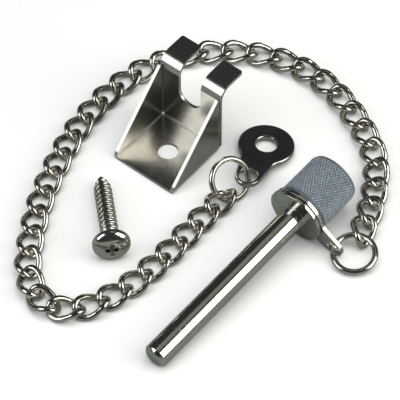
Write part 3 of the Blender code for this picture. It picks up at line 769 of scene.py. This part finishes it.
low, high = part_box("holder_bracket")
corner_reach = BRACKET_WIDTH / 2 * (math.cos(BRACKET_TURN) - math.sin(BRACKET_TURN))
bracket_place = (Matrix.Translation((low.x + corner_reach, low.y + corner_reach, 0))
                 @ Matrix.Rotation(BRACKET_TURN, 4, "Z"))
bracket_finish = satin_sheet("satin_sheet", bracket_place, (0.74, 0.72, 0.66), 0.17,
                             (1.0, 0.1, 0.1))
sheared_finish = satin_sheet("sheared_sheet_edge", bracket_place, (0.66, 0.66, 0.62), 0.24,
                             (1.0, 1.0, 0.2))
bracket = piece("folded_bracket", bracket_shape(), [bracket_finish, sheared_finish],
                "holder_bracket", "holder_bracket", bracket_place)
wall = bracket.modifiers.new("sheet", "SOLIDIFY")
wall.thickness = SHEET
wall.offset = 0
wall.use_even_offset = True
wall.material_offset_rim = 1
edges = bracket.modifiers.new("edges", "BEVEL")
edges.width = SHEARED_EDGE
edges.segments = 2
edges.limit_method = "ANGLE"
edges.angle_limit = SHARP
even_shading(bracket)


# ---- wood screw -------------------------------------------------------------------------------
# A number 8 pan head wood screw: cold headed from wire with a cross recess, its thread rolled
# between flat dies into a gimlet point, and bright nickel plated to match.

SCREW_LENGTH = 21.5 * MM
SCREW_HEAD_DIAMETER = 8.6 * MM
SCREW_DOME = 2.4 * MM
SCREW_UNDERCUT = 0.9 * MM
SCREW_DIAMETER = 4.2 * MM
THREAD_DEPTH = 0.55 * MM
THREAD_PITCH = 1.45 * MM
THREAD_START = 1.9 * MM
POINT_LENGTH = 5.0 * MM
RECESS_SPAN = 4.6 * MM
RECESS_WIDTH = 1.05 * MM
RECESS_DEPTH = 1.7 * MM
RECESS_TAPER = (0.35, 0.7, 1)    # the recess's bottom over its mouth
RIDGE_WIDTH = 0.30           # half a thread ridge's foot, as a share of the pitch
SCREW_STEPS = 56
THREAD_ROWS = 230


def screw_shape():
    head, crest = SCREW_HEAD_DIAMETER / 2, SCREW_DIAMETER / 2
    root = crest - THREAD_DEPTH
    outline = [(0, -SCREW_DOME)]
    for step in range(9, -1, -1):
        turn = QUARTER * step / 10
        outline.append((head * math.cos(turn)**0.9, -SCREW_DOME * (0.2 + 0.8 * math.sin(turn))))
    outline += [(head, 0), (head - 0.25 * MM, 0.2 * MM), (crest, SCREW_UNDERCUT),
                (root, THREAD_START - 0.5 * MM)]
    rows = [THREAD_START + (SCREW_LENGTH - THREAD_START) * i / THREAD_ROWS
            for i in range(THREAD_ROWS)]
    outline += [(root, height) for height in rows] + [(0, SCREW_LENGTH)]
    shape = turned_shape(outline, SCREW_STEPS)
    for spot in shape.verts:
        height = spot.co.z
        if height < THREAD_START or height >= SCREW_LENGTH:
            continue
        turn = math.atan2(spot.co.y, spot.co.x) / (2 * math.pi)
        phase = (height / THREAD_PITCH - turn) % 1
        ridge = max(0, 1 - abs(phase - 0.5) / RIDGE_WIDTH)
        ridge = ridge * ridge * (3 - 2 * ridge)
        begin = min(1, (height - THREAD_START) / THREAD_PITCH)
        taper = min(1, (SCREW_LENGTH - height) / POINT_LENGTH)
        taper = math.sin(taper * QUARTER)**0.8
        radius = (root + THREAD_DEPTH * ridge * begin) * taper
        now = math.hypot(spot.co.x, spot.co.y)
        spot.co.x *= radius / now
        spot.co.y *= radius / now
    smooth(shape)
    return shape


def carve(thing, cutter):
    """Cut a bmesh's shape out of a piece for good."""
    mesh = bpy.data.meshes.new("cutter")
    cutter.to_mesh(mesh)
    cutter.free()
    tool = bpy.data.objects.new("cutter", mesh)
    bpy.context.scene.collection.objects.link(tool)
    boolean = thing.modifiers.new("cut", "BOOLEAN")
    boolean.operation = "DIFFERENCE"
    boolean.solver = "EXACT"
    boolean.object = tool
    graph = bpy.context.evaluated_depsgraph_get()
    cut = bpy.data.meshes.new_from_object(thing.evaluated_get(graph))
    thing.modifiers.clear()
    thing.data = cut
    bpy.data.objects.remove(tool)


screw_turn = joints["screw_turn"]
screw_axis = Vector(screw_turn["axis"])
screw_side = Vector((screw_axis.y, -screw_axis.x, 0))
screw_place = seat(Vector(screw_turn["pos_m"]), screw_side, screw_axis)
screw_finish = bright_plate("screw_plate", (0.88, 0.86, 0.79), (0.66, 0.64, 0.57), 0.10,
                            lambda wire: local(wire, screw_place))
screw = piece("wood_screw", screw_shape(), [screw_finish], "mounting_screw", "mounting_screw",
              screw_place)
for turn in (0, QUARTER):
    wedge = bmesh.new()
    bmesh.ops.create_cube(wedge, size=1)
    bmesh.ops.scale(wedge, vec=(RECESS_SPAN, RECESS_WIDTH, 2 * RECESS_DEPTH), verts=wedge.verts)
    deep = [v for v in wedge.verts if v.co.z > 0]
    bmesh.ops.scale(wedge, vec=RECESS_TAPER, verts=deep)
    bmesh.ops.transform(wedge, verts=wedge.verts, matrix=screw_place
                        @ Matrix.Translation((0, 0, -SCREW_DOME)) @ Matrix.Rotation(turn, 4, "Z"))
    carve(screw, wedge)
